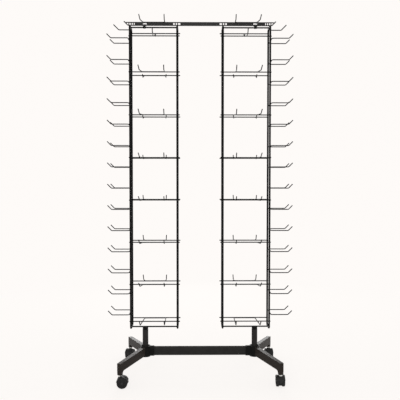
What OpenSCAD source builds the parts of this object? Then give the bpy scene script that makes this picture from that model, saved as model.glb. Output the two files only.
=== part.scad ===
// Spinner display rack: two tall wire hook towers that each turn on an upright axis, tied at
// the top by a header rail and standing on a wheeled H base. Every piece is its own module.
// X runs along the rack, Y to the back, Z up. The floor is z = 0, the rack is centred on it.

/* [Towers] */
// Distance from the middle of the rack to the middle of each tower frame
tower_offset = 199; // [192:0.5:210]
// Width of a tower frame between post centres
frame_width = 202; // [192:1:210]
// Depth of a tower frame between post centres
frame_depth = 69; // [62:0.5:71]
// Distance from the middle of a frame out to the axis that it turns about
pivot_shift = 41; // [32:0.5:48]
// Diameter of the post rod
post_d = 8; // [6:0.1:8.5]
// Bend radius at the corners of the post loops
corner_r = 12; // [10:0.5:12]
// Diameter of the cross bars that carry the pivots
bar_d = 6; // [5:0.1:7]

/* [Rungs] */
// Diameter of the rung wire
rung_d = 4.5; // [4:0.1:5.5]
// Height from one rung to the next
rung_pitch = 182; // [172:1:186]
// Height of the lowest rung above the bottom cross bar
first_rung = 194; // [188:1:204]
// Height of the top cross bar above the highest rung
top_space = 198; // [196:1:206]
// Height of the lower end ring on the front face above the bottom cross bar
ring_rise = 33; // [28:1:36]
// Height of the lower end ring on the rear face above the bottom cross bar
rear_ring_rise = 29; // [28:1:36]
// Distance of the upper end ring on the front face below the top cross bar
ring_drop = 46; // [36:1:52]
// Distance of the upper end ring on the rear face below the top cross bar
rear_ring_drop = 15; // [15:1:30]
// How far a rung runs past the inner post
overrun_inner = 7; // [2:0.5:14]
// How far a rung runs past the outer post
overrun_outer = 1; // [0.5:0.5:4]

/* [Hooks] */
// Diameter of the hook wire
hook_wire = 4; // [3.6:0.1:4.4]
// Distance between the two prongs of a double hook
hook_width = 94; // [92:0.5:102]
// Reach of the side hooks from their cross wire
side_reach = 73; // [60:1:85]
// Reach of the front, back and header hooks from their cross wire
short_reach = 42; // [34:1:54]
// Length of the turned-up tip
tip_length = 24; // [20:0.5:26]
// Length of the turned-up tip of the top side hook
top_tip = 31; // [28:0.5:34]
// Slope of the turned-up tips
tip_angle = 45; // [40:1:50]
// Angle that the outer front prongs stand outward
hook_flare = 12; // [4:1:15]
// Angle that the outer prong of the lowest hook stands outward
floor_flare = 4; // [2:1:6]
// Bend radius of the hook wire
bend_r = 8; // [6:0.5:8.5]
// Distance of every second side hook below its rung
side_drop = 40; // [36:1:46]

/* [Header] */
// Diameter of the two header rods
header_rod = 4.5; // [4:0.1:5]
// Height of the lower header rod above the top cross bars
header_lift = 9.4; // [8.7:0.1:12]
// Height between the two header rods
header_rise = 12.4; // [11:0.1:16]
// Half length of the upper header rod
header_half = 320; // [318:1:330]
// Length of the turned-up ends of the lower header rod
header_tip = 24; // [16:0.5:26]
// Thickness of the flat plates between the header rods
web_t = 3.5; // [2:0.1:4]

/* [Pivots] */
// Diameter of the header pins that the towers turn on
pin_d = 6; // [5:0.1:7]
// Outer diameter of the bosses around the header pins
boss_d = 12; // [11:0.1:14]
// Diameter of the spindle below each tower
spindle_d = 12; // [10:0.1:13]
// Length of the spindle below its collar
spindle_l = 40; // [28:1:50]
// Diameter of the collar on the spindle
collar_d = 24; // [20:0.5:25]
// Height from the underside of the collar to the bottom cross bar
foot_h = 11.8; // [9:0.1:16]
// Play between a turning piece and its bore, on the radius
running_gap = 0.05; // [0.03:0.01:0.08]

/* [Base] */
// Outer diameter of the base posts
tube_d = 25; // [24.6:0.1:27]
// Wall of the base posts
tube_wall = 2; // [1.6:0.1:2.4]
// Height of a base post above its hub
post_rise = 69; // [60:1:110]
// Height of the oval base beam
beam_h = 40; // [36:0.5:42]
// Thickness of the oval base beam
beam_t = 20; // [18:0.5:21]
// Diameter of the hubs
hub_d = 44; // [42:0.5:50]
// Wall of the beam sockets on the hubs
socket_wall = 3; // [2.5:0.1:4]
// How far a beam socket stands out of the round hub
socket_out = 17; // [14:0.5:30]
// Distance of a caster stem outward from the hub axis
leg_x = 87; // [74:1:110]
// Distance of a caster stem forward or back from the hub axis
leg_y = 192; // [170:1:215]
// Width of a leg at the hub
leg_w = 21; // [18:0.5:22]
// Width of a leg at its end
leg_end_w = 17; // [16:0.5:18]
// Height of a leg at its end above the underside of the stem socket
leg_end_h = 48; // [41:0.5:49]
// Height of the stem sockets below the underside of the hubs
socket_drop = 18; // [10:0.5:19]

/* [Casters] */
// Wheel diameter
wheel_d = 44; // [42:1:56]
// Width of one wheel
wheel_w = 10.4; // [10:0.2:16]
// Distance of the wheel axis from the stem axis
trail = 9.5; // [9:0.5:12]
// Stem diameter
stem_d = 10; // [9:0.1:10.5]
// Length of stem inside the leg
stem_grip = 36; // [28:0.5:36]
// Axle diameter
axle_d = 6; // [5:0.1:6.5]
// Width of the housing between the wheels
web_w = 14; // [14:0.2:17]
// Height of the bright collar under the stem socket
ring_h = 4.8; // [2.5:0.1:6]

/* [Hidden] */
weld = 0.1;
seat = 0.05;
ball = 0.03;
caster_heads = [["front_left", -1, -1, 0], ["front_right", 1, -1, 90],
                ["rear_left", -1, 1, -105], ["rear_right", 1, 1, -85]];
axle_z = wheel_d / 2;
hood_r = wheel_d / 2 + 2.5;
housing_top = axle_z + hood_r + 0.5;
socket_z = housing_top + ring_h + 0.2;
hub_z = socket_z + socket_drop;
hub_h = beam_h + 2 * socket_wall;
beam_z = hub_z + hub_h / 2;
post_top = hub_z + hub_h + post_rise;
flange_h = 3;
thrust_gap = 0.2;
collar_z = post_top + flange_h + thrust_gap;
tower_z = collar_z + foot_h;
rungs = 6;
tower_h = first_rung + (rungs - 1) * rung_pitch + top_space;
tower_top = tower_z + tower_h;
rung_z = [for (k = [0 : rungs - 1]) tower_z + first_rung + k * rung_pitch];
low_ring_z = [tower_z + ring_rise, tower_z + rear_ring_rise];
high_ring_z = [tower_top - ring_drop, tower_top - rear_ring_drop];
side_hooks = 2 * rungs + 2;
side_z = [for (k = [0 : side_hooks - 1])
          tower_z + first_rung - side_drop + (k - 1) * rung_pitch / 2];
pivot_x = tower_offset + pivot_shift;
inner_x = tower_offset - frame_width / 2;
outer_x = tower_offset + frame_width / 2;
rung_y = frame_depth / 2 + post_d / 2 + weld + rung_d / 2;
hook_y = rung_y + rung_d / 2 + weld + hook_wire / 2;
side_x = outer_x + post_d / 2 + weld + hook_wire / 2;
top_hook_z = tower_top + 4.5 - hook_wire / 2 - top_tip * sin(tip_angle);
boss_h = bar_d + 1;
header_low = tower_top + header_lift;
header_high = header_low + header_rise;
sleeve_d = header_rod + 4.5;
sleeve_l = 16;
leg_l = sqrt(leg_x * leg_x + leg_y * leg_y);
leg_a = atan2(leg_y, leg_x);
leg_top = beam_z + beam_h / 2;
$fn = 24;

// Everything is drawn for the right-hand tower and mirrored for the left
module at_side(side) {
    if (side > 0) children();
    else mirror([1, 0, 0]) children();
}

// A wire bent leg by leg: each leg is [straight length, bend angle, roll of the bend plane].
// A hair-thick ball closes the joint behind each bend that isn't square
module bent_wire(legs, d, i = 0) {
    if (legs[i][0] > 0) cylinder(d = d, h = legs[i][0]);
    if (i < len(legs) - 1) translate([0, 0, legs[i][0]]) rotate([0, 0, legs[i][2]])
        translate([bend_r, 0, 0]) {
            rotate([90, 0, 180]) rotate_extrude(angle = legs[i][1])
                translate([bend_r, 0]) circle(d = d);
            rotate([0, legs[i][1], 0]) translate([-bend_r, 0, 0]) {
                if (legs[i][1] % 90 != 0) sphere(d = d + 2 * ball);
                bent_wire(legs, d, i + 1);
            }
        }
    else translate([0, 0, legs[i][0]]) cylinder(d1 = d, d2 = 0.6 * d, h = 0.2 * d);
}

// Length that a bend takes off each of the straight legs beside it
function setback(turn) = round(1000 * bend_r * tan(turn / 2)) / 1000;

// One prong of a double hook: the bend at the end of the cross wire, the prong, the tip
module hook_prong(reach, flare) {
    corner = setback(90 - flare);
    lift = setback(tip_angle);
    long = round(1000 * reach / cos(flare)) / 1000;
    translate([0, hook_width / 2 - corner, 0]) rotate([-90, 0, 0])
        bent_wire([[0, 90 - flare, 0], [long - corner - lift, tip_angle, -90],
                   [tip_length - lift]], hook_wire);
}

// A double hook that reaches along +X from a cross wire along Y
module double_hook(reach, flare) {
    inner = hook_width / 2 - setback(90);
    outer = hook_width / 2 - setback(90 - flare);
    translate([0, -inner, 0]) rotate([-90, 0, 0]) cylinder(d = hook_wire, h = inner + outer);
    hook_prong(reach, flare);
    mirror([0, 1, 0]) hook_prong(reach, 0);
}

// A rod along +X whose end is turned up
module turned_rod(reach, tip, d) {
    lift = setback(tip_angle);
    rotate([-90, 0, 0]) rotate([0, 90, 0])
        bent_wire([[reach - lift, tip_angle, -90], [tip - lift]], d);
}

// A straight rod along X between two stations
module rod_x(x0, x1, d) {
    translate([x0, 0, 0]) rotate([0, 90, 0]) cylinder(d = d, h = x1 - x0);
}

// Flat oval outline, w across and h high, with round top and bottom
module oval(w, h) {
    square([w, h - w], center = true);
    for (s = [-1, 1]) translate([0, s * (h - w) / 2]) circle(d = w, $fn = 48);
}

// Flat oval bar along X between two stations
module oval_x(x0, x1, w, h) {
    translate([x0, 0, 0]) rotate([90, 0, 90]) linear_extrude(x1 - x0) oval(w, h);
}

// Closed rod loop that makes a front post and a back post in one piece
module post_loop(x) {
    y = frame_depth / 2 - corner_r;
    z = tower_h / 2 - corner_r;
    translate([x, 0, tower_z + tower_h / 2]) {
        for (s = [-1, 1]) {
            translate([0, s * frame_depth / 2, -z]) cylinder(d = post_d, h = 2 * z);
            translate([0, -y, s * tower_h / 2]) rotate([-90, 0, 0])
                cylinder(d = post_d, h = 2 * y);
        }
        for (q = [0 : 3]) rotate([90, 0, 90])
            translate([(q == 0 || q == 3 ? 1 : -1) * y, (q < 2 ? 1 : -1) * z, 0])
                rotate([0, 0, 90 * q]) rotate_extrude(angle = 90)
                    translate([corner_r, 0]) circle(d = post_d);
    }
}

// Rungs and end rings on the front face of the posts; face 1 has the ring heights of the rear
module rung_set(face) {
    for (z = concat(rung_z, [low_ring_z[face], high_ring_z[face]])) translate([0, -rung_y, z])
        rod_x(inner_x - post_d / 2 - overrun_inner, outer_x + post_d / 2 + overrun_outer,
              rung_d);
}

// Double hooks on every rung, front face
module hook_set() {
    for (z = rung_z) translate([tower_offset, -hook_y, z])
        rotate([0, 0, -90]) double_hook(short_reach, hook_flare);
}

// Long double hook from the inside of the rear lower ring, out below the front one
module floor_hook() {
    root = rung_y - rung_d / 2 - weld - hook_wire / 2;
    translate([tower_offset, root, low_ring_z[0] - rung_d / 2 - weld - hook_wire / 2])
        rotate([0, 0, -90]) double_hook(root + hook_y + short_reach, floor_flare);
}

module side_hook_set() {
    for (z = side_z) translate([side_x, 0, z]) double_hook(side_reach, 0);
}

// Single hooks in the middle of the top rings, and the short one on the front outer post
module top_hook_set() {
    for (s = [0, 1]) mirror([0, s, 0])
        translate([tower_offset, -hook_y + hook_wire / 2, high_ring_z[s]])
            rotate([0, 0, -90]) turned_rod(short_reach + hook_wire / 2, tip_length, hook_wire);
    translate([outer_x + post_d / 2 + weld, -frame_depth / 2, top_hook_z])
        turned_rod(short_reach, top_tip, hook_wire);
}

// Cross bars at mid depth; the top one is cut where the boss sits
module pivot_bar_set() {
    x0 = inner_x + post_d / 2 + weld;
    x1 = outer_x - post_d / 2 - weld;
    translate([0, 0, tower_z]) rod_x(x0, x1, bar_d);
    translate([0, 0, tower_top]) {
        rod_x(x0, pivot_x - boss_d / 2 - weld, bar_d);
        rod_x(pivot_x + boss_d / 2 + weld, x1, bar_d);
    }
}

module top_boss() {
    translate([pivot_x, 0, tower_top - boss_h / 2]) difference() {
        cylinder(d = boss_d, h = boss_h, $fn = 48);
        translate([0, 0, -1]) cylinder(d = pin_d + 2 * running_gap, h = boss_h + 2, $fn = 48);
    }
}

// Collar that cradles the bottom cross bar, with the spindle below it
module pivot_foot() {
    translate([pivot_x, 0, collar_z]) difference() {
        union() {
            cylinder(d = collar_d, h = foot_h, $fn = 64);
            translate([0, 0, -spindle_l]) cylinder(d = spindle_d, h = spindle_l + 1, $fn = 64);
        }
        translate([0, 0, foot_h]) rod_x(-collar_d, collar_d, bar_d + 2 * weld);
    }
}

// Sleeve round the lower header rod with the pin below it
module header_pivot() {
    pin_low = tower_top - boss_h / 2 + 0.5;
    translate([pivot_x, 0, 0]) difference() {
        union() {
            translate([0, 0, header_low]) rod_x(-sleeve_l / 2, sleeve_l / 2, sleeve_d, $fn = 48);
            translate([0, 0, pin_low])
                cylinder(d = pin_d, h = header_low - header_rod / 2 - 0.6 - pin_low, $fn = 48);
        }
        translate([0, 0, header_low])
            rod_x(-sleeve_l, sleeve_l, header_rod + 2 * seat, $fn = 48);
    }
}

module header_upper() {
    translate([0, 0, header_high]) rod_x(-header_half, header_half, header_rod);
}

module header_lower() {
    for (s = [0, 1]) mirror([s, 0, 0]) translate([0, 0, header_low])
        turned_rod(header_half - 9, header_tip, header_rod);
}

// Flat plates between the header rods over the towers and in the middle, with short pins
module header_web_set() {
    z0 = header_low + header_rod / 2 + weld;
    h = header_rise - header_rod - 2 * weld;
    half = frame_width / 2 - 18;
    gap = sleeve_l / 2 + 1.5;
    translate([-inner_x + 13, -web_t / 2, z0]) cube([2 * inner_x - 26, web_t, h]);
    for (s = [0, 1]) mirror([s, 0, 0]) {
        translate([tower_offset - half, -web_t / 2, z0])
            cube([pivot_x - gap - tower_offset + half, web_t, h]);
        translate([pivot_x + gap, -web_t / 2, z0])
            cube([tower_offset + half - pivot_x - gap, web_t, h]);
        for (x = [inner_x - 1, inner_x + 9, outer_x - 12, outer_x - 3, outer_x + 7])
            translate([x, 0, z0]) cylinder(d = header_rod, h = h);
    }
}

module header_hook_set() {
    y = header_rod / 2 + weld + hook_wire / 2;
    for (s = [0, 1], t = [0, 1]) mirror([s, 0, 0]) mirror([0, t, 0])
        translate([tower_offset, -y, header_high])
            rotate([0, 0, -90]) double_hook(short_reach, hook_flare);
}

module beam() {
    end = pivot_x - tube_d / 2 - 3.6;
    translate([0, 0, beam_z]) difference() {
        oval_x(-end, end, beam_t, beam_h);
        oval_x(-end - 1, end + 1, beam_t - 4, beam_h - 4);
        for (s = [-1, 1]) translate([s * (pivot_x - hub_d / 2 - socket_out / 2), 0, 0])
            rotate([-90, 0, 0]) cylinder(d = 6 + 2 * seat, h = beam_t);
    }
}

// Round hub with a socket for the beam, a bore for the post and a coned neck
module hub() {
    translate([pivot_x, 0, 0]) difference() {
        union() {
            translate([0, 0, hub_z]) cylinder(d = hub_d, h = hub_h, $fn = 96);
            translate([0, 0, hub_z + hub_h])
                cylinder(d1 = hub_d - 6, d2 = tube_d + 4, h = 4, $fn = 96);
            translate([0, 0, beam_z]) oval_x(-hub_d / 2 - socket_out, 0,
                beam_t + 2 * socket_wall, hub_h - 1);
        }
        translate([0, 0, hub_z + 12]) cylinder(d = tube_d + 2 * seat, h = hub_h, $fn = 96);
        translate([0, 0, beam_z]) {
            oval_x(-hub_d, -tube_d / 2 - 3.5, beam_t + 2 * seat, beam_h + 2 * seat);
            translate([-hub_d / 2 - socket_out / 2, 0, 0]) rotate([-90, 0, 0])
                cylinder(d = 6 + 2 * seat, h = beam_t);
        }
    }
}

// One button-head screw per socket, on the back
module beam_screw_set() {
    x = pivot_x - hub_d / 2 - socket_out / 2;
    y = beam_t / 2 + socket_wall + seat;
    for (s = [-1, 1]) translate([s * x, 0, beam_z]) rotate([-90, 0, 0]) {
        translate([0, 0, beam_t / 2 - 5]) cylinder(d = 6, h = y - beam_t / 2 + 5);
        translate([0, 0, y]) cylinder(d1 = 11, d2 = 8, h = 3, $fn = 48);
    }
}

module base_post() {
    translate([pivot_x, 0, hub_z + 12]) difference() {
        cylinder(d = tube_d, h = post_top - hub_z - 12, $fn = 96);
        translate([0, 0, -1])
            cylinder(d = tube_d - 2 * tube_wall, h = post_top - hub_z - 10, $fn = 96);
    }
}

module post_bush() {
    translate([pivot_x, 0, post_top]) difference() {
        union() {
            cylinder(d = tube_d, h = flange_h, $fn = 96);
            translate([0, 0, -spindle_l])
                cylinder(d = tube_d - 2 * tube_wall - 2 * seat, h = spindle_l + 1, $fn = 96);
        }
        translate([0, 0, -spindle_l - 1])
            cylinder(d = spindle_d + 2 * running_gap, h = spindle_l + flange_h + 2, $fn = 64);
    }
}

// Side outline of a leg: along the leg in x, height in y
module leg_side() {
    end = leg_l + 8;
    heel = leg_l - 7.5;
    arch = 12;
    under = socket_z + 15.5;
    difference() {
        polygon([[hub_d / 4, leg_top], [end, socket_z + leg_end_h], [end, under + 2],
                 [end - 1.2, socket_z], [heel, socket_z], [heel - arch, under - arch],
                 [heel - arch, under], [hub_d / 4, hub_z + 7]]);
        translate([heel - arch, under - arch]) circle(r = arch, $fn = 64);
        translate([heel - 2 * arch, socket_z - 10]) square([2 * arch, under - arch + 10 - socket_z]);
    }
}

// A leg as its side outline cut to a tapered plan, bored for the stem
module leg_blank() {
    difference() {
        intersection() {
            translate([0, 20, 0]) rotate([90, 0, 0]) linear_extrude(40) leg_side();
            linear_extrude(leg_top + 10)
                polygon([[0, -leg_w / 2], [leg_l + 10, -leg_end_w / 2],
                         [leg_l + 10, leg_end_w / 2], [0, leg_w / 2]]);
        }
        cylinder(d = hub_d + 2 * weld, h = 400, $fn = 96);
        translate([leg_l, 0, socket_z - 1])
            cylinder(d = stem_d + 2 * running_gap, h = stem_grip + 2, $fn = 64);
    }
}

// Leg to the front (f = -1) or the back (f = 1) of the right-hand hub
module leg(f) {
    translate([pivot_x, 0, 0]) rotate([0, 0, f * leg_a]) leg_blank();
}

// Puts a caster part at its stem axis, turned the way its wheels trail
module at_caster(c) {
    translate([c[1] * (pivot_x + leg_x), c[2] * leg_y, 0]) rotate([0, 0, c[3]]) children();
}

module caster_stem() {
    foot = axle_z + axle_d / 2 + 8;
    translate([0, 0, foot]) cylinder(d = stem_d, h = socket_z + stem_grip - foot, $fn = 64);
    translate([0, 0, housing_top]) cylinder(d = stem_d + 5, h = ring_h, $fn = 64);
}

// Middle web with a round stem boss and a curved hood over both wheels
module caster_housing() {
    difference() {
        union() {
            translate([trail, web_w / 2, axle_z]) rotate([90, 0, 0]) linear_extrude(web_w) {
                intersection() {
                    circle(r = hood_r, $fn = 96);
                    translate([-hood_r, 0]) square([2 * hood_r, hood_r]);
                }
                circle(r = 10, $fn = 64);
            }
            translate([trail, web_w / 2 + wheel_w, axle_z]) rotate([90, 0, 0])
                linear_extrude(web_w + 2 * wheel_w) difference() {
                    intersection() {
                        circle(r = hood_r, $fn = 96);
                        translate([-hood_r, 7]) square([2 * hood_r, hood_r]);
                    }
                    circle(r = hood_r - 1.7, $fn = 96);
                }
            translate([0, 0, axle_z + 15])
                cylinder(d = web_w, h = housing_top - axle_z - 15, $fn = 64);
        }
        translate([0, 0, axle_z + axle_d / 2 + 8])
            cylinder(d = stem_d + 2 * seat, h = 60, $fn = 64);
        translate([trail, web_w, axle_z]) rotate([90, 0, 0])
            cylinder(d = axle_d + 2 * seat, h = 2 * web_w, $fn = 48);
    }
}

module caster_axle() {
    head = web_w / 2 + 0.2 + wheel_w - 1.8;
    translate([trail, 0, axle_z]) for (s = [0, 1]) mirror([0, s, 0]) rotate([-90, 0, 0]) {
        cylinder(d = axle_d, h = head + 1, $fn = 48);
        translate([0, 0, head]) cylinder(d = axle_d + 5, h = 1.6, $fn = 48);
    }
}

// Wheel outline: radius in x, width in y from the inner face out
module wheel_section() {
    r = wheel_d / 2;
    difference() {
        union() {
            square([r - 3, wheel_w]);
            translate([0, 1.5]) square([r, wheel_w - 4.5]);
            square([r - 1.5, 2]);
            translate([r - 1.5, 1.5]) circle(r = 1.5, $fn = 48);
            translate([r - 3, wheel_w - 3]) circle(r = 3, $fn = 48);
        }
        square([axle_d / 2 + running_gap, wheel_w]);
        translate([0, wheel_w - 2]) square([axle_d / 2 + 4, 3]);
        polygon([[axle_d / 2 + 6, wheel_w + 1], [axle_d / 2 + 7, wheel_w - 1.6],
                 [r - 7, wheel_w - 1.6], [r - 5, wheel_w + 1]]);
    }
}

module caster_wheel(side) {
    translate([trail, 0, axle_z]) rotate([-90 * side, 0, 0])
        translate([0, 0, web_w / 2 + 0.2]) rotate_extrude($fn = 96) wheel_section();
}

module base_beam() { color("#2b2a29") beam(); }
module hub_left() { color("#262524") at_side(-1) hub(); }
module hub_right() { color("#262524") at_side(1) hub(); }
module beam_screws() { color("#3a3a3a") beam_screw_set(); }
module leg_front_left() { color("#2f2d2c") at_side(-1) leg(-1); }
module leg_front_right() { color("#2f2d2c") at_side(1) leg(-1); }
module leg_rear_left() { color("#2f2d2c") at_side(-1) leg(1); }
module leg_rear_right() { color("#2f2d2c") at_side(1) leg(1); }
module base_post_left() { color("#2b2a29") at_side(-1) base_post(); }
module base_post_right() { color("#2b2a29") at_side(1) base_post(); }
module post_bush_left() { color("#1a1a1a") at_side(-1) post_bush(); }
module post_bush_right() { color("#1a1a1a") at_side(1) post_bush(); }
module header_upper_rod() { color("#1d1d1d") header_upper(); }
module header_lower_rod() { color("#1d1d1d") header_lower(); }
module header_webs() { color("#2a2a2a") header_web_set(); }
module header_hooks() { color("#1d1d1d") header_hook_set(); }
module header_pivot_left() { color("#1d1d1d") at_side(-1) header_pivot(); }
module header_pivot_right() { color("#1d1d1d") at_side(1) header_pivot(); }
module left_outer_loop() { color("#1d1d1d") at_side(-1) post_loop(outer_x); }
module left_inner_loop() { color("#1d1d1d") at_side(-1) post_loop(inner_x); }
module left_front_rungs() { color("#1d1d1d") at_side(-1) rung_set(0); }
module left_rear_rungs() { color("#1d1d1d") at_side(-1) mirror([0, 1, 0]) rung_set(1); }
module left_pivot_bars() { color("#1d1d1d") at_side(-1) pivot_bar_set(); }
module left_front_hooks() {
    color("#1d1d1d") at_side(-1) { hook_set(); floor_hook(); }
}
module left_rear_hooks() { color("#1d1d1d") at_side(-1) mirror([0, 1, 0]) hook_set(); }
module left_side_hooks() { color("#1d1d1d") at_side(-1) side_hook_set(); }
module left_top_hooks() { color("#1d1d1d") at_side(-1) top_hook_set(); }
module left_top_boss() { color("#1d1d1d") at_side(-1) top_boss(); }
module left_pivot_foot() { color("#1d1d1d") at_side(-1) pivot_foot(); }
module right_outer_loop() { color("#1d1d1d") post_loop(outer_x); }
module right_inner_loop() { color("#1d1d1d") post_loop(inner_x); }
module right_front_rungs() { color("#1d1d1d") rung_set(0); }
module right_rear_rungs() { color("#1d1d1d") mirror([0, 1, 0]) rung_set(1); }
module right_pivot_bars() { color("#1d1d1d") pivot_bar_set(); }
module right_front_hooks() { color("#1d1d1d") { hook_set(); floor_hook(); } }
module right_rear_hooks() { color("#1d1d1d") mirror([0, 1, 0]) hook_set(); }
module right_side_hooks() { color("#1d1d1d") side_hook_set(); }
module right_top_hooks() { color("#1d1d1d") top_hook_set(); }
module right_top_boss() { color("#1d1d1d") top_boss(); }
module right_pivot_foot() { color("#1d1d1d") pivot_foot(); }
module front_left_stem() { color("#b9b9b6") at_caster(caster_heads[0]) caster_stem(); }
module front_left_housing() { color("#161616") at_caster(caster_heads[0]) caster_housing(); }
module front_left_axle() { color("#8d8d8a") at_caster(caster_heads[0]) caster_axle(); }
module front_left_wheel_a() { color("#141414") at_caster(caster_heads[0]) caster_wheel(1); }
module front_left_wheel_b() { color("#141414") at_caster(caster_heads[0]) caster_wheel(-1); }
module front_right_stem() { color("#b9b9b6") at_caster(caster_heads[1]) caster_stem(); }
module front_right_housing() { color("#161616") at_caster(caster_heads[1]) caster_housing(); }
module front_right_axle() { color("#8d8d8a") at_caster(caster_heads[1]) caster_axle(); }
module front_right_wheel_a() { color("#141414") at_caster(caster_heads[1]) caster_wheel(1); }
module front_right_wheel_b() { color("#141414") at_caster(caster_heads[1]) caster_wheel(-1); }
module rear_left_stem() { color("#b9b9b6") at_caster(caster_heads[2]) caster_stem(); }
module rear_left_housing() { color("#161616") at_caster(caster_heads[2]) caster_housing(); }
module rear_left_axle() { color("#8d8d8a") at_caster(caster_heads[2]) caster_axle(); }
module rear_left_wheel_a() { color("#141414") at_caster(caster_heads[2]) caster_wheel(1); }
module rear_left_wheel_b() { color("#141414") at_caster(caster_heads[2]) caster_wheel(-1); }
module rear_right_stem() { color("#b9b9b6") at_caster(caster_heads[3]) caster_stem(); }
module rear_right_housing() { color("#161616") at_caster(caster_heads[3]) caster_housing(); }
module rear_right_axle() { color("#8d8d8a") at_caster(caster_heads[3]) caster_axle(); }
module rear_right_wheel_a() { color("#141414") at_caster(caster_heads[3]) caster_wheel(1); }
module rear_right_wheel_b() { color("#141414") at_caster(caster_heads[3]) caster_wheel(-1); }

base_beam();
hub_left();
hub_right();
beam_screws();
leg_front_left();
leg_front_right();
leg_rear_left();
leg_rear_right();
base_post_left();
base_post_right();
post_bush_left();
post_bush_right();
header_upper_rod();
header_lower_rod();
header_webs();
header_hooks();
header_pivot_left();
header_pivot_right();
left_outer_loop();
left_inner_loop();
left_front_rungs();
left_rear_rungs();
left_pivot_bars();
left_front_hooks();
left_rear_hooks();
left_side_hooks();
left_top_hooks();
left_top_boss();
left_pivot_foot();
right_outer_loop();
right_inner_loop();
right_front_rungs();
right_rear_rungs();
right_pivot_bars();
right_front_hooks();
right_rear_hooks();
right_side_hooks();
right_top_hooks();
right_top_boss();
right_pivot_foot();
front_left_stem();
front_left_housing();
front_left_axle();
front_left_wheel_a();
front_left_wheel_b();
front_right_stem();
front_right_housing();
front_right_axle();
front_right_wheel_a();
front_right_wheel_b();
rear_left_stem();
rear_left_housing();
rear_left_axle();
rear_left_wheel_a();
rear_left_wheel_b();
rear_right_stem();
rear_right_housing();
rear_right_axle();
rear_right_wheel_a();
rear_right_wheel_b();
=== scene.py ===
"""Dresses the spinner display rack: coats, weld beads, caster trim, floor, light and camera.

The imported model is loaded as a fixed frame. Its nodes keep their meshes and get finishes here,
and the pieces made below ride on its bodies. Sizes are in millimetres unless a name says so.
"""

import logging
import math
from dataclasses import dataclass, field
from enum import Enum

import bmesh
import bpy
from mathutils import Matrix, Vector


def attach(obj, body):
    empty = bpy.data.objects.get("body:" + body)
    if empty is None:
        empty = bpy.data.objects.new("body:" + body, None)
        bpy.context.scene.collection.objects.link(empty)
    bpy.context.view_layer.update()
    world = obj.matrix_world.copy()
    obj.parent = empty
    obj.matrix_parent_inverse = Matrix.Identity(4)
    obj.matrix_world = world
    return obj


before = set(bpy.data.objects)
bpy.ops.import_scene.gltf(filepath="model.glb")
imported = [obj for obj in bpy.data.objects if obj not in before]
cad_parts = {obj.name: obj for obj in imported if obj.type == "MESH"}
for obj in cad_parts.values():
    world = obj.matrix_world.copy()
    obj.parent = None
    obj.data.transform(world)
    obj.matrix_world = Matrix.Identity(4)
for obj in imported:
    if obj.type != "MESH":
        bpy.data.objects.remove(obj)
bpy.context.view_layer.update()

log = logging.getLogger("rack")
MM = 0.001
Triple = tuple[float, float, float]


class Side(Enum):
    """The two halves of the rack, with the sign of their x."""

    LEFT = -1
    RIGHT = 1


class Sheen(Enum):
    """How tightly a finish mirrors its surroundings, as a roughness."""

    POLISHED = 0.22
    BRUSHED = 0.30
    EGGSHELL = 0.46
    MOULDED = 0.55
    TREAD = 0.68
    PLATED = 0.24


def clear_nodes(tree: bpy.types.NodeTree) -> None:
    """Empties a node tree.

    Args:
        tree: The tree to empty.
    """
    for node in list(tree.nodes):
        tree.nodes.remove(node)


@dataclass(frozen=True)
class EffectGroup:
    """A shader node group that several finishes share.

    Attributes:
        name: Name of the group.
        inputs: Name and default of each value input.
        outputs: Names of the value outputs.
    """

    name: str
    inputs: tuple[tuple[str, float], ...]
    outputs: tuple[str, ...]

    def start(self) -> tuple[bpy.types.NodeTree, bpy.types.Node, bpy.types.Node]:
        """Makes the empty group with its sockets.

        Returns:
            The group's tree, its input node and its output node.
        """
        tree = bpy.data.node_groups.new(self.name, "ShaderNodeTree")
        for name, value in self.inputs:
            socket = tree.interface.new_socket(name, in_out="INPUT", socket_type="NodeSocketFloat")
            socket.default_value = value
        for name in self.outputs:
            tree.interface.new_socket(name, in_out="OUTPUT", socket_type="NodeSocketFloat")
        return tree, tree.nodes.new("NodeGroupInput"), tree.nodes.new("NodeGroupOutput")


def noise(tree: bpy.types.NodeTree, where: bpy.types.NodeSocket, scale: bpy.types.NodeSocket,
          detail: float, rough: float) -> bpy.types.Node:
    """Adds a noise texture.

    Args:
        tree: Tree that the node goes in.
        where: Coordinates that the noise reads.
        scale: Socket that gives the scale.
        detail: Octaves of detail.
        rough: Strength of the finer octaves.

    Returns:
        The noise node.
    """
    node = tree.nodes.new("ShaderNodeTexNoise")
    tree.links.new(where, node.inputs["Vector"])
    tree.links.new(scale, node.inputs["Scale"])
    node.inputs["Detail"].default_value = detail
    node.inputs["Roughness"].default_value = rough
    return node


def spread(tree: bpy.types.NodeTree, value: bpy.types.NodeSocket, low: float, high: float,
           out_low: float = 0.0, out_high: float = 1.0) -> bpy.types.NodeSocket:
    """Maps a value from one range to another, held at the ends.

    Args:
        tree: Tree that the node goes in.
        value: Socket that is mapped.
        low: Value that gives out_low.
        high: Value that gives out_high.
        out_low: Result at the low end.
        out_high: Result at the high end.

    Returns:
        The mapped socket.
    """
    node = tree.nodes.new("ShaderNodeMapRange")
    node.inputs["From Min"].default_value = low
    node.inputs["From Max"].default_value = high
    node.inputs["To Min"].default_value = out_low
    node.inputs["To Max"].default_value = out_high
    tree.links.new(value, node.inputs["Value"])
    return node.outputs["Result"]


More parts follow.
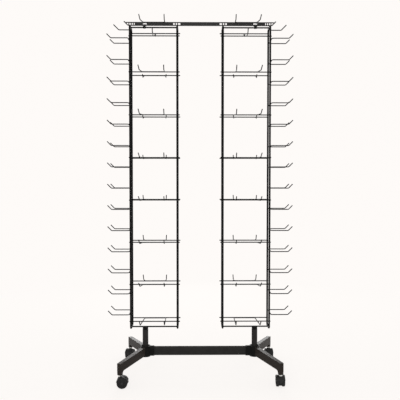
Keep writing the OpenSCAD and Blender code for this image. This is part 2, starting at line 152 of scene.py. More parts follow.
def arithmetic(tree: bpy.types.NodeTree, kind: str, a: bpy.types.NodeSocket | float,
               b: bpy.types.NodeSocket | float) -> bpy.types.NodeSocket:
    """Adds a math node on two values.

    Args:
        tree: Tree that the node goes in.
        kind: Operation of the node, such as MULTIPLY.
        a: First value.
        b: Second value.

    Returns:
        The result socket.
    """
    node = tree.nodes.new("ShaderNodeMath")
    node.operation = kind
    node.use_clamp = kind in ("ADD", "MULTIPLY")
    for socket, value in zip(node.inputs, (a, b)):
        if isinstance(value, bpy.types.NodeSocket):
            tree.links.new(value, socket)
        else:
            socket.default_value = value
    return node.outputs[0]


@dataclass(frozen=True)
class Effects:
    """The shared groups: coat grain, rubbed edges with painted highlight, dust with painted top
    light.
    """

    EDGE_RADIUS = 0.6
    EDGE_SAMPLES = 4
    EDGE_TURN = (0.985, 0.86)
    WEAR_AND_HIGHLIGHT_PATCH = (0.42, 0.60)
    UP_FACING = (0.35, 1.0)
    DUST_AND_TOP_LIGHT_PATCH = (0.35, 0.75)

    grain: bpy.types.NodeTree
    wear_and_edge_highlight: bpy.types.NodeTree
    dust_and_top_light: bpy.types.NodeTree

    @staticmethod
    def build() -> "Effects":
        """Builds the three groups once.

        Returns:
            The groups.
        """
        return Effects(Effects._grain(), Effects._wear_and_edge_highlight(), Effects._dust_and_top_light())

    @staticmethod
    def _grain() -> bpy.types.NodeTree:
        """Builds the fine orange peel of a coat.

        Returns:
            The group, with a Height and a Cloud output.
        """
        tree, into, out = EffectGroup("Coat grain", (("Fine", 1400.0), ("Broad", 60.0)),
                                      ("Height", "Cloud")).start()
        where = tree.nodes.new("ShaderNodeTexCoord").outputs["Object"]
        fine = noise(tree, where, into.outputs["Fine"], 1.5, 0.45)
        broad = noise(tree, where, into.outputs["Broad"], 3.0, 0.55)
        tree.links.new(fine.outputs["Fac"], out.inputs["Height"])
        tree.links.new(broad.outputs["Fac"], out.inputs["Cloud"])
        return tree

    @staticmethod
    def _wear_and_edge_highlight() -> bpy.types.NodeTree:
        """Builds the mask of rubbed edges, which also paints a highlight along the edges.

        Returns:
            The group, with a Mask output.
        """
        tree, into, out = EffectGroup("Worn edges and painted edge highlight", (("Amount", 0.5), ("Scale", 220.0)),
                                      ("Mask",)).start()
        where = tree.nodes.new("ShaderNodeTexCoord").outputs["Object"]
        rounded = tree.nodes.new("ShaderNodeBevel")
        rounded.samples = Effects.EDGE_SAMPLES
        rounded.inputs["Radius"].default_value = Effects.EDGE_RADIUS * MM
        turn = tree.nodes.new("ShaderNodeVectorMath")
        turn.operation = "DOT_PRODUCT"
        tree.links.new(rounded.outputs["Normal"], turn.inputs[0])
        tree.links.new(tree.nodes.new("ShaderNodeNewGeometry").outputs["Normal"], turn.inputs[1])
        edge = spread(tree, turn.outputs["Value"], *Effects.EDGE_TURN)
        patch = spread(tree, noise(tree, where, into.outputs["Scale"], 4.0, 0.6).outputs["Fac"],
                       *Effects.WEAR_AND_HIGHLIGHT_PATCH)
        # Edges broken into patches: rubbed coat, and a painted highlight along the edges.
        wear_and_highlight_mask = arithmetic(tree, "MULTIPLY", edge, patch)
        tree.links.new(arithmetic(tree, "MULTIPLY", wear_and_highlight_mask, into.outputs["Amount"]),
                       out.inputs["Mask"])
        return tree

    @staticmethod
    def _dust_and_top_light() -> bpy.types.NodeTree:
        """Builds the mask of dust and painted top light on faces that look up.

        Returns:
            The group, with a Mask output.
        """
        tree, into, out = EffectGroup("Dust and painted top light", (("Amount", 0.3), ("Scale", 35.0)),
                                      ("Mask",)).start()
        where = tree.nodes.new("ShaderNodeTexCoord").outputs["Object"]
        split = tree.nodes.new("ShaderNodeSeparateXYZ")
        tree.links.new(tree.nodes.new("ShaderNodeNewGeometry").outputs["Normal"],
                       split.inputs["Vector"])
        facing = spread(tree, split.outputs["Z"], *Effects.UP_FACING)
        patch = spread(tree, noise(tree, where, into.outputs["Scale"], 5.0, 0.65).outputs["Fac"],
                       *Effects.DUST_AND_TOP_LIGHT_PATCH)
        # Up-facing faces in patches: dust, and a painted lighter top as if lit from above.
        dust_and_top_light_mask = arithmetic(tree, "MULTIPLY", facing, patch)
        tree.links.new(arithmetic(tree, "MULTIPLY", dust_and_top_light_mask, into.outputs["Amount"]),
                       out.inputs["Mask"])
        return tree


@dataclass(frozen=True)
class Finish:
    """One finish of the rack, from its colours, sheen and marks.

    Attributes:
        name: Name of the material.
        tint: Base colour, linear.
        sheen: Roughness class.
        metal: Metallic share of the base.
        level: Specular level.
        grain: Depth of the fine grain, in millimetres.
        fine: Scale of the fine grain, per metre.
        cloud: How far the roughness wanders.
        shade: How far the colour wanders.
        worn_and_highlight: Strength of the rubbed edges, which also paint a highlight on the
            edges.
        bare_and_highlight: Colour under the rubbed coat, also the colour of the painted edge
            highlight.
        dust_and_top_light: Strength of the dust, which also paints up-facing tops lighter as top
            light.
    """

    DUST_AND_TOP_LIGHT_TINT = (0.34, 0.32, 0.30)
    DUST_AND_TOP_LIGHT_ROUGHNESS = 0.5
    CLOUD_RANGE = (0.3, 0.7)
    CLOUD_SCALE = 60.0
    WEAR_AND_HIGHLIGHT_SCALE = 220.0
    DUST_AND_TOP_LIGHT_SCALE = 35.0
    GRAIN_STRENGTH = 0.6

    name: str
    tint: Triple
    sheen: Sheen
    metal: float = 0.0
    level: float = 0.4
    grain: float = 0.03
    fine: float = 1400.0
    cloud: float = 0.10
    shade: float = 0.25
    worn_and_highlight: float = 0.35
    bare_and_highlight: Triple = (0.16, 0.155, 0.15)
    dust_and_top_light: float = 0.12

    @staticmethod
    def _group(tree: bpy.types.NodeTree, group: bpy.types.NodeTree,
               **values: float) -> bpy.types.Node:
        """Places a shared group with its own values.

        Args:
            tree: The material's tree.
            group: The shared group.
            **values: Input values by name.

        Returns:
            The group node.
        """
        node = tree.nodes.new("ShaderNodeGroup")
        node.node_tree = group
        for name, value in values.items():
            node.inputs[name].default_value = value
        return node

    @staticmethod
    def _mix(tree: bpy.types.NodeTree, mask: bpy.types.NodeSocket,
             a: bpy.types.NodeSocket | Triple, b: bpy.types.NodeSocket | Triple
             ) -> bpy.types.NodeSocket:
        """Mixes two colours by a mask.

        Args:
            tree: The material's tree.
            mask: Share of the second colour.
            a: First colour.
            b: Second colour.

        Returns:
            The mixed colour.
        """
        node = tree.nodes.new("ShaderNodeMix")
        node.data_type = "RGBA"
        tree.links.new(mask, node.inputs["Factor"])
        for socket, value in ((node.inputs[6], a), (node.inputs[7], b)):
            if isinstance(value, bpy.types.NodeSocket):
                tree.links.new(value, socket)
            else:
                socket.default_value = (*value, 1.0)
        return node.outputs[2]

    def build(self, effects: Effects) -> bpy.types.Material:
        """Builds the material.

        Args:
            effects: The shared groups.

        Returns:
            The material.
        """
        material = bpy.data.materials.new(self.name)
        material.use_nodes = True
        tree = material.node_tree
        clear_nodes(tree)
        output = tree.nodes.new("ShaderNodeOutputMaterial")
        shader = tree.nodes.new("ShaderNodeBsdfPrincipled")
        tree.links.new(shader.outputs["BSDF"], output.inputs["Surface"])
        grain = self._group(tree, effects.grain, Fine=self.fine, Broad=self.CLOUD_SCALE)
        wear_and_edge_highlight = self._group(tree, effects.wear_and_edge_highlight, Amount=self.worn_and_highlight, Scale=self.WEAR_AND_HIGHLIGHT_SCALE)
        dust_and_top_light = self._group(tree, effects.dust_and_top_light, Amount=self.dust_and_top_light, Scale=self.DUST_AND_TOP_LIGHT_SCALE)
        deep = tuple(c * (1.0 - self.shade) for c in self.tint)
        light = tuple(c * (1.0 + self.shade) for c in self.tint)
        colour = self._mix(tree, grain.outputs["Cloud"], deep, light)
        # Rubbed edges take the lighter bare colour, which is also a painted edge highlight.
        colour = self._mix(tree, wear_and_edge_highlight.outputs["Mask"], colour, self.bare_and_highlight)
        # Up-facing faces take a pale tint: partly dust, partly painted top light.
        colour = self._mix(tree, dust_and_top_light.outputs["Mask"], colour, self.DUST_AND_TOP_LIGHT_TINT)
        tree.links.new(colour, shader.inputs["Base Color"])
        rough = spread(tree, grain.outputs["Cloud"], *self.CLOUD_RANGE,
                       self.sheen.value - self.cloud, self.sheen.value + self.cloud)
        dust_and_top_light_rough = arithmetic(tree, "MULTIPLY", dust_and_top_light.outputs["Mask"], self.DUST_AND_TOP_LIGHT_ROUGHNESS)
        rough = arithmetic(tree, "ADD", rough, dust_and_top_light_rough)
        tree.links.new(rough, shader.inputs["Roughness"])
        if self.metal:
            shader.inputs["Metallic"].default_value = self.metal
        else:
            # The edge mask also makes the edges metallic: bare steel, and part of the painted edge
            # highlight.
            tree.links.new(wear_and_edge_highlight.outputs["Mask"], shader.inputs["Metallic"])
        shader.inputs["Specular IOR Level"].default_value = self.level
        bump = tree.nodes.new("ShaderNodeBump")
        bump.inputs["Strength"].default_value = self.GRAIN_STRENGTH
        bump.inputs["Distance"].default_value = self.grain * MM
        tree.links.new(grain.outputs["Height"], bump.inputs["Height"])
        tree.links.new(bump.outputs["Normal"], shader.inputs["Normal"])
        return material


@dataclass
class Finishes:
    """Every finish on the rack, built once and handed out by name."""

    effects: Effects
    made: dict[str, bpy.types.Material] = field(default_factory=dict)

    PLAN = {
        "wire": Finish("black_wire_coat", (0.003, 0.003, 0.003), Sheen.MOULDED, level=0.12,
                       grain=0.02, worn_and_highlight=0.3, bare_and_highlight=(0.05, 0.048, 0.046), dust_and_top_light=0.02),
        "rail": Finish("black_rail_coat", (0.020, 0.0195, 0.019), Sheen.MOULDED, level=0.3,
                       grain=0.02, worn_and_highlight=0.3, bare_and_highlight=(0.08, 0.078, 0.076), dust_and_top_light=0.05),
        "post": Finish("black_post_coat", (0.024, 0.0225, 0.022), Sheen.POLISHED, level=0.05,
                       grain=0.02, fine=900.0, cloud=0.03, worn_and_highlight=0.2, bare_and_highlight=(0.08, 0.078, 0.076),
                       dust_and_top_light=0.03),
        # The frame takes the most of the pale up-facing tint, which paints its leg tops lighter as
        # if lit from above.
        "frame": Finish("black_frame_coat", (0.024, 0.0197, 0.0170), Sheen.BRUSHED, level=0.03,
                        grain=0.05, fine=900.0, cloud=0.05, worn_and_highlight=0.3, bare_and_highlight=(0.10, 0.095, 0.09),
                        dust_and_top_light=0.2),
        "beam": Finish("black_beam_coat", (0.023, 0.0222, 0.0213), Sheen.EGGSHELL, level=0.02,
                       grain=0.05, fine=900.0, worn_and_highlight=0.3, bare_and_highlight=(0.10, 0.095, 0.09), dust_and_top_light=0.1),
        "hub": Finish("black_hub_coat", (0.004, 0.0038, 0.0035), Sheen.EGGSHELL, level=0.1,
                      grain=0.12, fine=650.0, worn_and_highlight=0.45, bare_and_highlight=(0.10, 0.095, 0.09), dust_and_top_light=0.1),
        "polymer": Finish("black_polymer", (0.012, 0.012, 0.0118), Sheen.MOULDED, level=0.3,
                          grain=0.06, fine=1900.0, worn_and_highlight=0.1, bare_and_highlight=(0.05, 0.05, 0.05), dust_and_top_light=0.08),
        "wheel": Finish("wheel_polymer", (0.012, 0.012, 0.0115), Sheen.TREAD, level=0.3,
                        grain=0.08, fine=1200.0, shade=0.5, worn_and_highlight=0.2, bare_and_highlight=(0.05, 0.048, 0.046),
                        dust_and_top_light=0.1),
        "axle": Finish("black_axle", (0.012, 0.012, 0.012), Sheen.EGGSHELL, level=0.35,
                       grain=0.02, fine=2200.0, worn_and_highlight=0.2, bare_and_highlight=(0.08, 0.08, 0.08), dust_and_top_light=0.05),
        "zinc": Finish("bright_zinc", (0.66, 0.66, 0.64), Sheen.PLATED, metal=1.0, level=0.5,
                       grain=0.015, fine=2200.0, shade=0.12, worn_and_highlight=0.0, dust_and_top_light=0.1),
        "screw": Finish("black_oxide", (0.02, 0.02, 0.021), Sheen.EGGSHELL, metal=0.8, level=0.5,
                        grain=0.02, fine=2500.0, worn_and_highlight=0.5),
    }

    def get(self, name: str) -> bpy.types.Material:
        """Hands out a finish, built on first use.

        Args:
            name: Key of the finish.

        Returns:
            The material.
        """
        if name not in self.made:
            self.made[name] = self.PLAN[name].build(self.effects)
        return self.made[name]

    @staticmethod
    def for_node(node: str) -> str:
        """Names the finish that a CAD node wears.

        Args:
            node: Name of the node.

        Returns:
            Key of its finish.
        """
        if node.endswith("_stem"):
            return "zinc"
        if node.endswith("_axle"):
            return "axle"
        if node.endswith("_housing") or node.startswith("post_bush"):
            return "polymer"
        if "_wheel_" in node:
            return "wheel"
        if node == "beam_screws":
            return "screw"
        if node.startswith("hub_"):
            return "hub"
        if node.startswith("header_"):
            return "rail"
        if node.startswith("base_post"):
            return "post"
        if node == "base_beam":
            return "beam"
        if node.startswith(("base_", "leg_")):
            return "frame"
        return "wire"

    def dress_nodes(self) -> None:
        """Puts a finish on every CAD node's own slots."""
        for name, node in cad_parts.items():
            material = self.get(self.for_node(name))
            if not node.material_slots:
                node.data.materials.append(material)
            for slot in node.material_slots:
                slot.material = material
        log.info("dressed %d nodes", len(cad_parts))


class Builder:
    """Collects bmesh shapes, in millimetres, into one piece."""

    def __init__(self, name: str) -> None:
        """Starts an empty piece.

        Args:
            name: Name of the piece.
        """
        self.name = name
        self.mesh = bmesh.new()

    def bead(self, at: Vector, radii: Triple, turn: Matrix | None = None, rings: int = 6) -> None:
        """Adds a rounded bead of weld.

        Args:
            at: Middle of the bead.
            radii: Half sizes along its own axes.
            turn: Rotation of the bead, or None.
            rings: Rings of faces from pole to pole.
        """
        place = Matrix.Translation(at) @ (turn or Matrix.Identity(4)) @ Matrix.Diagonal(
            (*radii, 1.0))
        bmesh.ops.create_uvsphere(self.mesh, u_segments=2 * rings - 2, v_segments=rings,
                                  radius=1.0, matrix=place)

    def run(self, points: list[Vector], radius: float, step: float = 2.4) -> None:
        """Lays a rippled weld along a line of points.

        Args:
            points: Corners of the line.
            radius: Half width of the weld.
            step: Distance from ripple to ripple.
        """
        for a, b in zip(points, points[1:]):
            length = (b - a).length
            count = max(1, round(length / step))
            turn = (b - a).to_track_quat("X", "Z").to_matrix().to_4x4()
            for k in range(count + 1):
                self.bead(a.lerp(b, k / count), (step * 0.75, radius, radius * 0.8), turn, 5)

    def block(self, size: Triple, place: Matrix, bevel: float) -> None:
        """Adds a block with rounded edges.

        Args:
            size: Full sizes along its own axes.
            place: Where it goes.
            bevel: Radius of the edges.
        """
        made = bmesh.ops.create_cube(self.mesh, size=1.0)["verts"]
        bmesh.ops.scale(self.mesh, vec=size, verts=made)
        edges = list({edge for vert in made for edge in vert.link_edges})
        made_faces = bmesh.ops.bevel(self.mesh, geom=edges, offset=bevel, segments=2,
                                     profile=0.5, affect="EDGES", material=-1)["faces"]
        verts = list({v for face in made_faces for v in face.verts})
        linked = set(verts)
        for vert in verts:
            linked.update(v for edge in vert.link_edges for v in edge.verts)
        bmesh.ops.transform(self.mesh, matrix=place, verts=list(linked))

    def ring(self, profile: list[tuple[float, float]], place: Matrix, steps: int = 48) -> None:
        """Spins an open outline into a closed ring.

        Args:
            profile: Radius and height of each corner, in order round the section.
            place: Where the ring's axis goes.
            steps: Steps of the full turn.
        """
        verts = [self.mesh.verts.new((r, 0.0, h)) for r, h in profile]
        edges = [self.mesh.edges.new(pair) for pair in zip(verts, verts[1:] + verts[:1])]
        before = set(self.mesh.verts)
        bmesh.ops.spin(self.mesh, geom=verts + edges, cent=(0, 0, 0), axis=(0, 0, 1),
                       angle=math.tau, steps=steps, use_merge=True)
        fresh = (set(self.mesh.verts) - before) | {v for v in verts if v.is_valid}
        bmesh.ops.transform(self.mesh, matrix=place, verts=list(fresh))

    def piece(self, body: str, slot: str, material: bpy.types.Material,
              smooth: bool = True) -> bpy.types.Object:
        """Turns what was collected into an object that rides on a body.

        Args:
            body: CAD body that carries it.
            slot: Material slot of the record; not used.
            material: Finish of the piece.
            smooth: Whether its faces are shaded smooth.

        Returns:
            The object.
        """
        bmesh.ops.scale(self.mesh, vec=(MM, MM, MM), verts=self.mesh.verts)
        bmesh.ops.recalc_face_normals(self.mesh, faces=self.mesh.faces)
        for face in self.mesh.faces:
            face.smooth = smooth
        data = bpy.data.meshes.new(self.name)
        self.mesh.to_mesh(data)
        self.mesh.free()
        piece = bpy.data.objects.new(self.name, data)
        bpy.context.scene.collection.objects.link(piece)
        data.materials.append(material)
        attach(piece, body)
        log.info("%s: %d faces on %s", self.name, len(data.polygons), body)
        return piece


@dataclass
class TowerDress:
    """Welds of one tower. A bead's sizes are its half sizes along x, y and z."""

    side: Side
    offset: float = 199.0
    width: float = 202.0
    depth: float = 69.0
    shift: float = 41.0
    post: float = 8.0
    rung: float = 4.5
    wire: float = 4.0
    foot_z: float = 200.0
    top_z: float = 1502.0
    ring_rises: tuple[float, float] = (33.0, 29.0)
    ring_drops: tuple[float, float] = (46.0, 15.0)
    first_rung: float = 194.0
    pitch: float = 182.0
    rungs: int = 6
    side_drop: float = 40.0
    hook_width: float = 94.0
    prong_splay: float = 5.4
    single_drop: float = 19.4
    collar: float = 24.0
    boss: float = 12.0
    weld_gap: float = 0.1
    bead_places: tuple[float, float] = (-26.0, 26.0)
    rung_bead: Triple = (3.0, 0.9, 2.7)
    hook_bead: Triple = (5.0, 0.8, 1.9)
    ring_bead: Triple = (2.6, 0.9, 2.4)
    prong_bead: Triple = (2.2, 2.8, 0.8)
    side_bead: Triple = (0.8, 2.7, 2.5)
    single_bead: Triple = (0.9, 2.4, 2.4)
    bar_bead: Triple = (3.4, 3.4, 0.9)
    boss_bead: Triple = (3.4, 3.4, 1.0)
    collar_weld: float = 1.3
    collar_inset: float = 1.4
    collar_half: float = 2.6
    collar_lift: float = 0.2

    @property
    def name(self) -> str:
        """Word for this side in the names of nodes and pieces."""
        return self.side.name.lower()

    def rung_levels(self) -> list[float]:
        """Heights of the rungs, from the bottom up."""
        return [self.foot_z + self.first_rung + k * self.pitch for k in range(self.rungs)]

    def ring_levels(self, face: int) -> tuple[float, float]:
        """Heights of both end rings on the front face (-1) or the rear face (1)."""
        k = (face + 1) // 2
        return self.foot_z + self.ring_rises[k], self.top_z - self.ring_drops[k]

    def posts(self) -> tuple[float, float]:
        """Places of the inner and outer posts, without the side's sign."""
        return self.offset - self.width / 2, self.offset + self.width / 2

    def at(self, x: float, y: float, z: float) -> Vector:
        """A point of this tower with the side's sign on x."""
        return Vector((self.side.value * x, y, z))

    def rung_welds(self, finishes: Finishes) -> None:
        """Adds a weld wherever a rung crosses a post.

        Args:
            finishes: The rack's finishes.
        """
        made = Builder(f"{self.name}_rung_welds")
        face = self.depth / 2 + self.post / 2 + self.weld_gap / 2
        for s in (-1, 1):
            for z in (*self.rung_levels(), *self.ring_levels(s)):
                for x in self.posts():
                    made.bead(self.at(x, s * face, z), self.rung_bead)
        made.piece(f"tower_{self.name}", "black_wire", finishes.get("wire"))

    def hook_welds(self, finishes: Finishes) -> None:
        """Adds the welds that hold the hooks on the rungs and on the outer posts.

        Args:
            finishes: The rack's finishes.
        """
        made = Builder(f"{self.name}_hook_welds")
        face = self.depth / 2 + self.post / 2 + 1.5 * self.weld_gap + self.rung
        for s in (-1, 1):
            for z in self.rung_levels():
                for dx in self.bead_places:
                    made.bead(self.at(self.offset + dx, s * face, z), self.hook_bead)
            made.bead(self.at(self.offset, s * face, self.ring_levels(s)[1]), self.ring_bead)
        under = self.ring_levels(-1)[0] - self.rung / 2 - self.weld_gap / 2
        inside = self.depth / 2 + self.post / 2 + self.weld_gap / 2
        for dx in self.bead_places:
            made.bead(self.at(self.offset + dx, inside, under - self.wire / 2), self.hook_bead)
        reach = self.hook_width / 2
        for x in (self.offset - reach, self.offset + reach + self.prong_splay):
            made.bead(self.at(x, -inside - self.rung / 2, under), self.prong_bead)
        x = self.posts()[1] + self.post / 2 + self.weld_gap / 2
        first = self.foot_z + self.first_rung - self.side_drop - self.pitch / 2
        for k in range(2 * self.rungs + 2):
            for s in (-1, 1):
                made.bead(self.at(x, s * self.depth / 2, first + k * self.pitch / 2),
                          self.side_bead)
        made.bead(self.at(x, -self.depth / 2, self.top_z - self.single_drop), self.single_bead)
        made.piece(f"tower_{self.name}", "black_wire", finishes.get("wire"))

    def pivot_welds(self, finishes: Finishes) -> None:
        """Adds the welds round the cross bars, the top boss and the collar of the foot.

        Args:
            finishes: The rack's finishes.
        """
        made = Builder(f"{self.name}_pivot_welds")
        inner, outer = self.posts()
        turn = Matrix.Rotation(math.pi / 2, 4, "Y")
        for z in (self.foot_z, self.top_z):
            for x in (inner + self.post / 2, outer - self.post / 2):
                made.bead(self.at(x, 0, z), self.bar_bead, turn)
        axis = self.offset + self.shift
        for s in (-1, 1):
            made.bead(self.at(axis + s * self.boss / 2, 0, self.top_z), self.boss_bead, turn)
        reach = self.collar / 2 - self.collar_inset
        for s in (-1, 1):
            ends = [self.at(axis + dx, s * self.collar_half, self.foot_z + self.collar_lift)
                    for dx in (-reach, reach)]
            made.run(ends, self.collar_weld)
        made.piece(f"tower_{self.name}", "black_wire", finishes.get("wire"))

    def build(self, finishes: Finishes) -> None:
        """Builds every piece of this tower.

        Args:
            finishes: The rack's finishes.
        """
        self.rung_welds(finishes)
        self.hook_welds(finishes)
        self.pivot_welds(finishes)


@dataclass
class HeaderDress:
    """Welds of the header rail. A bead's sizes are its half sizes along x, y and z."""

    low: float = 1511.4
    high: float = 1523.8
    rod: float = 4.5
    offset: float = 199.0
    pivot: float = 240.0
    inner: float = 98.0
    outer: float = 300.0
    inner_pins: tuple[float, ...] = (-1.0, 9.0)
    outer_pins: tuple[float, ...] = (-12.0, -3.0, 7.0)
    plate_start: float = 120.0
    plate_pitch: float = 14.0
    plates: int = 12
    bridge_start: float = -80.0
    bridge_pitch: float = 16.0
    bridge_plates: int = 11
    weld_gap: float = 0.1
    bead_places: tuple[float, float] = (-26.0, 26.0)
    sleeve_ends: tuple[float, float] = (-8.0, 8.0)
    pin_bead: Triple = (2.8, 1.9, 0.8)
    plate_bead: Triple = (3.2, 2.1, 0.8)
    hook_bead: Triple = (5.0, 0.8, 1.9)
    sleeve_bead: Triple = (0.9, 3.3, 3.3)

    def build(self, finishes: Finishes) -> None:
        """Adds the welds of the plates, pins, hooks and sleeves.

        Args:
            finishes: The rack's finishes.
        """
        made = Builder("header_welds")
        flat = self.rod / 2 + self.weld_gap / 2
        ends = (self.low + flat, self.high - flat)
        pins = [self.inner + dx for dx in self.inner_pins]
        pins += [self.outer + dx for dx in self.outer_pins]
        plates = [self.plate_start + self.plate_pitch * k for k in range(self.plates)]
        for s in (-1, 1):
            for x in pins:
                for z in ends:
                    made.bead(Vector((s * x, 0, z)), self.pin_bead)
            for x in plates:
                if abs(x - self.pivot) < self.plate_pitch:
                    continue
                for z in ends:
                    made.bead(Vector((s * x, 0, z)), self.plate_bead)
            for dx in self.bead_places:
                for t in (-1, 1):
                    made.bead(Vector((s * (self.offset + dx), t * flat, self.high)),
                              self.hook_bead)
            for dx in self.sleeve_ends:
                made.bead(Vector((s * self.pivot + dx, 0, self.low)), self.sleeve_bead)
        for k in range(self.bridge_plates):
            for z in ends:
                made.bead(Vector((self.bridge_start + self.bridge_pitch * k, 0, z)),
                          self.plate_bead)
        made.piece("base", "black_wire", finishes.get("wire"))


@dataclass
class BaseDress:
    """Welds of the base, where the legs and posts meet the hubs."""

    pivot: float = 240.0
    hub: float = 44.0
    neck_top: float = 120.0
    tube: float = 25.0
    leg_x: float = 87.0
    leg_y: float = 192.0
    leg_width: float = 21.0
    leg_low: float = 77.2
    leg_high: float = 112.6
    leg_weld: float = 1.3
    leg_gap: float = 0.3
    leg_inset: float = 0.1
    post_weld: float = 1.2
    post_gap: float = 0.4
    post_ripple: float = 3.3
    post_steps: int = 24

    def leg_welds(self, side: Side, finishes: Finishes) -> None:
        """Lays the welds round both legs of one hub.

        Args:
            side: Side of the rack.
            finishes: The rack's finishes.
        """
        made = Builder(f"hub_{side.name.lower()}_welds")
        reach = math.sqrt((self.hub / 2) ** 2 - (self.leg_width / 2) ** 2) + self.leg_gap
        front = self.hub / 2 + self.leg_gap
        half = self.leg_width / 2 - self.leg_inset
        arc = [(reach, -half), (reach + 1.5, -half * 0.6), (front, 0.0),
               (reach + 1.5, half * 0.6), (reach, half)]
        line = [(reach, -half, self.leg_low)]
        line += [(x, y, self.leg_high) for x, y in arc]
        line += [(x, y, self.leg_low) for x, y in reversed(arc)]
        for f in (-1, 1):
            turn = Matrix.Rotation(math.atan2(self.leg_y, self.leg_x) * f, 4, "Z")
            points = []
            for corner in line:
                spot = turn @ Vector(corner) + Vector((self.pivot, 0, 0))
                points.append(Vector((side.value * spot.x, spot.y, spot.z)))
            made.run(points, self.leg_weld)
        made.piece("base", "satin_black_steel", finishes.get("hub"))

    def post_welds(self, side: Side, finishes: Finishes) -> None:
        """Lays the weld round the foot of one base post.

        Args:
            side: Side of the rack.
            finishes: The rack's finishes.
        """
        made = Builder(f"base_post_{side.name.lower()}_weld")
        radius = self.tube / 2 + self.post_gap
        angles = [math.tau * k / self.post_steps for k in range(self.post_steps + 1)]
        points = [Vector((side.value * self.pivot + radius * math.cos(a),
                          radius * math.sin(a), self.neck_top)) for a in angles]
        made.run(points, self.post_weld, self.post_ripple)
        made.piece("base", "satin_black_steel", finishes.get("hub"))

    def build(self, finishes: Finishes) -> None:
        """Builds the welds of both hubs.

        Args:
            finishes: The rack's finishes.
        """
        for side in Side:
            self.leg_welds(side, finishes)
            self.post_welds(side, finishes)


@dataclass
class CasterDress:
    """Skirt between the two wheels of one caster, and the ribs and rims on them."""

    name: str
    x: float
    y: float
    heading: float
    trail: float = 9.5
    axle_z: float = 22.0
    web: float = 14.0
    web_gap: float = 0.2
    wheel_width: float = 10.4
    skirt_inner: float = 9.6
    skirt_outer: float = 19.0
    skirt_edge: float = 0.4
    ribs: int = 8
    rib_size: Triple = (4.6, 1.4, 1.1)
    rib_radius: float = 12.5
    rib_depth: float = 1.0
    rib_edge: float = 0.3
    rim: tuple[tuple[float, float], ...] = (
        (14.2, -1.55), (14.2, -0.5), (14.5, -0.3), (15.2, -0.3), (15.4, -0.6), (15.4, -1.55))

    def build(self, finishes: Finishes) -> None:
        """Builds the skirt, and the ribs and rim of both wheels.

        Args:
            finishes: The rack's finishes.
        """
        face = self.web / 2 + self.web_gap + self.wheel_width
        turn = Matrix.Translation((self.x, self.y, 0)) @ Matrix.Rotation(
            math.radians(self.heading), 4, "Z") @ Matrix.Translation(
            (self.trail, 0, self.axle_z))
        skirt = Builder(f"{self.name}_skirt")
        half = self.web / 2 - self.web_gap
        edge = self.skirt_edge
        skirt.ring([(self.skirt_inner, -half), (self.skirt_outer - edge, -half),
                    (self.skirt_outer, edge - half), (self.skirt_outer, half - edge),
                    (self.skirt_outer - edge, half), (self.skirt_inner, half)],
                   turn @ Matrix.Rotation(math.pi / 2, 4, "X"))
        skirt.piece(f"caster_{self.name}", "black_polymer", finishes.get("polymer"),
                    smooth=False)
        for word, s in (("a", 1), ("b", -1)):
            made = Builder(f"{self.name}_wheel_{word}_ribs")
            lay = turn @ Matrix.Rotation(-s * math.pi / 2, 4, "X")
            for k in range(self.ribs):
                spoke = Matrix.Rotation(math.tau * k / self.ribs, 4, "Z")
                place = Matrix.Translation((self.rib_radius, 0, face - self.rib_depth))
                made.block(self.rib_size, lay @ spoke @ place, self.rib_edge)
            made.ring([(r, face + h) for r, h in self.rim], lay)
            made.piece(f"wheel_{self.name}_{word}", "wheel_black", finishes.get("wheel"),
                       smooth=False)


@dataclass(frozen=True)
class SoftLamp:
    """A soft square lamp that looks at the rack's middle. Sizes are in metres and watts."""

    name: str
    at: Triple
    size: float
    power: float

    AIM = (0.0, 0.0, 0.7)

    def hang(self) -> None:
        """Adds the lamp to the scene."""
        data = bpy.data.lights.new(self.name, "AREA")
        data.size = self.size
        data.energy = self.power
        lamp = bpy.data.objects.new(self.name, data)
        lamp.location = self.at
        lamp.rotation_euler = (Vector(self.AIM) - Vector(self.at)).to_track_quat(
            "-Z", "Y").to_euler()
        bpy.context.scene.collection.objects.link(lamp)


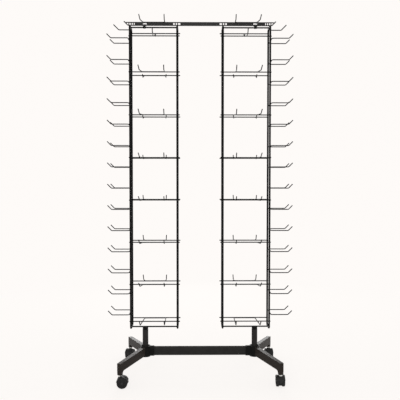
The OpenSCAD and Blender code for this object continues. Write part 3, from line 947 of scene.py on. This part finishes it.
@dataclass
class Studio:
    """Floor, light and camera. Sizes are in metres, angles in degrees."""

    paper: Triple = (0.93, 0.915, 0.895)
    backdrop: Triple = (0.991, 0.961, 0.938)
    calm: float = 0.84
    lit_radius: float = 0.8
    even_radius: float = 2.2
    floor_reach: float = 14.0
    sky: Triple = (1.0, 0.99, 0.98)
    sky_light: float = 0.78
    sky_gloss: float = 0.3
    lamps: tuple[SoftLamp, ...] = (SoftLamp("key", (-1.2, -3.8, 1.9), 1.2, 34.0),
                                   SoftLamp("fill", (2.2, -3.4, 1.3), 1.2, 16.0),
                                   SoftLamp("back", (0.0, 3.4, 1.3), 1.8, 62.0))
    eye: Triple = (-0.024, -2.445, 0.841)
    pitch: float = 1.975
    yaw: float = 0.562
    lens: float = 50.4
    sensor: float = 36.0
    sight: float = 60.0

    def floor(self) -> None:
        """Lays the pale floor, which keeps the object's shadow."""
        mesh = bmesh.new()
        bmesh.ops.create_grid(mesh, x_segments=2, y_segments=2, size=self.floor_reach)
        data = bpy.data.meshes.new("floor")
        mesh.to_mesh(data)
        mesh.free()
        floor = bpy.data.objects.new("floor", data)
        bpy.context.scene.collection.objects.link(floor)
        data.materials.append(self.paper_finish())

    def paper_finish(self) -> bpy.types.Material:
        """Makes the floor's finish: lit paper near the rack, even paper further off.

        Returns:
            The material.
        """
        material = bpy.data.materials.new("pale_floor")
        material.use_nodes = True
        tree = material.node_tree
        clear_nodes(tree)
        output = tree.nodes.new("ShaderNodeOutputMaterial")
        lit = tree.nodes.new("ShaderNodeBsdfDiffuse")
        lit.inputs["Color"].default_value = (*self.paper, 1.0)
        even = tree.nodes.new("ShaderNodeEmission")
        even.inputs["Color"].default_value = (*self.backdrop, 1.0)
        spot = tree.nodes.new("ShaderNodeTexCoord")
        reach = tree.nodes.new("ShaderNodeVectorMath")
        reach.operation = "LENGTH"
        tree.links.new(spot.outputs["Object"], reach.inputs[0])
        fade = spread(tree, reach.outputs["Value"], self.lit_radius, self.even_radius, self.calm)
        path = tree.nodes.new("ShaderNodeLightPath")
        seen = arithmetic(tree, "MULTIPLY", fade, path.outputs["Is Camera Ray"])
        mix = tree.nodes.new("ShaderNodeMixShader")
        tree.links.new(seen, mix.inputs[0])
        tree.links.new(lit.outputs[0], mix.inputs[1])
        tree.links.new(even.outputs[0], mix.inputs[2])
        tree.links.new(mix.outputs[0], output.inputs["Surface"])
        return material

    def world(self) -> None:
        """Sets the plain surroundings: paper white to the eye, softer as light."""
        world = bpy.data.worlds.new("studio")
        bpy.context.scene.world = world
        world.use_nodes = True
        tree = world.node_tree
        clear_nodes(tree)
        output = tree.nodes.new("ShaderNodeOutputWorld")
        shown, light, gloss = (self._background(tree, tint, strength) for tint, strength in (
            (self.backdrop, 1.0), (self.sky, self.sky_light), (self.sky, self.sky_gloss)))
        path = tree.nodes.new("ShaderNodeLightPath")
        unseen = tree.nodes.new("ShaderNodeMixShader")
        tree.links.new(path.outputs["Is Glossy Ray"], unseen.inputs[0])
        tree.links.new(light.outputs[0], unseen.inputs[1])
        tree.links.new(gloss.outputs[0], unseen.inputs[2])
        mix = tree.nodes.new("ShaderNodeMixShader")
        tree.links.new(path.outputs["Is Camera Ray"], mix.inputs[0])
        tree.links.new(unseen.outputs[0], mix.inputs[1])
        tree.links.new(shown.outputs[0], mix.inputs[2])
        tree.links.new(mix.outputs[0], output.inputs["Surface"])

    @staticmethod
    def _background(tree: bpy.types.NodeTree, tint: Triple, strength: float) -> bpy.types.Node:
        """Adds an even background.

        Args:
            tree: The world's tree.
            tint: Its colour, linear.
            strength: Its strength.

        Returns:
            The background node.
        """
        node = tree.nodes.new("ShaderNodeBackground")
        node.inputs["Color"].default_value = (*tint, 1.0)
        node.inputs["Strength"].default_value = strength
        return node

    def camera(self) -> None:
        """Sets the camera at the photograph's place."""
        data = bpy.data.cameras.new("camera")
        data.lens = self.lens
        data.sensor_width = self.sensor
        data.clip_end = self.sight
        camera = bpy.data.objects.new("camera", data)
        camera.location = self.eye
        camera.rotation_euler = (math.radians(90.0 - self.pitch), 0.0,
                                 -math.radians(self.yaw))
        bpy.context.scene.collection.objects.link(camera)
        bpy.context.scene.camera = camera

    def build(self) -> None:
        """Builds the whole studio."""
        self.floor()
        self.world()
        for lamp in self.lamps:
            lamp.hang()
        self.camera()
        bpy.context.scene.view_settings.view_transform = "Standard"


CASTERS = (CasterDress("front_left", -327.0, -192.0, 0.0),
           CasterDress("front_right", 327.0, -192.0, 90.0),
           CasterDress("rear_left", -327.0, 192.0, -105.0),
           CasterDress("rear_right", 327.0, 192.0, -85.0))


def main() -> None:
    """Builds and dresses the rack, piece by piece."""
    logging.basicConfig(level=logging.INFO, format="%(name)s: %(message)s")
    finishes = Finishes(Effects.build())
    Studio().build()
    finishes.dress_nodes()
    for side in Side:
        TowerDress(side).build(finishes)
    HeaderDress().build(finishes)
    BaseDress().build(finishes)
    for caster in CASTERS:
        caster.build(finishes)


if __name__ == "__main__":
    main()
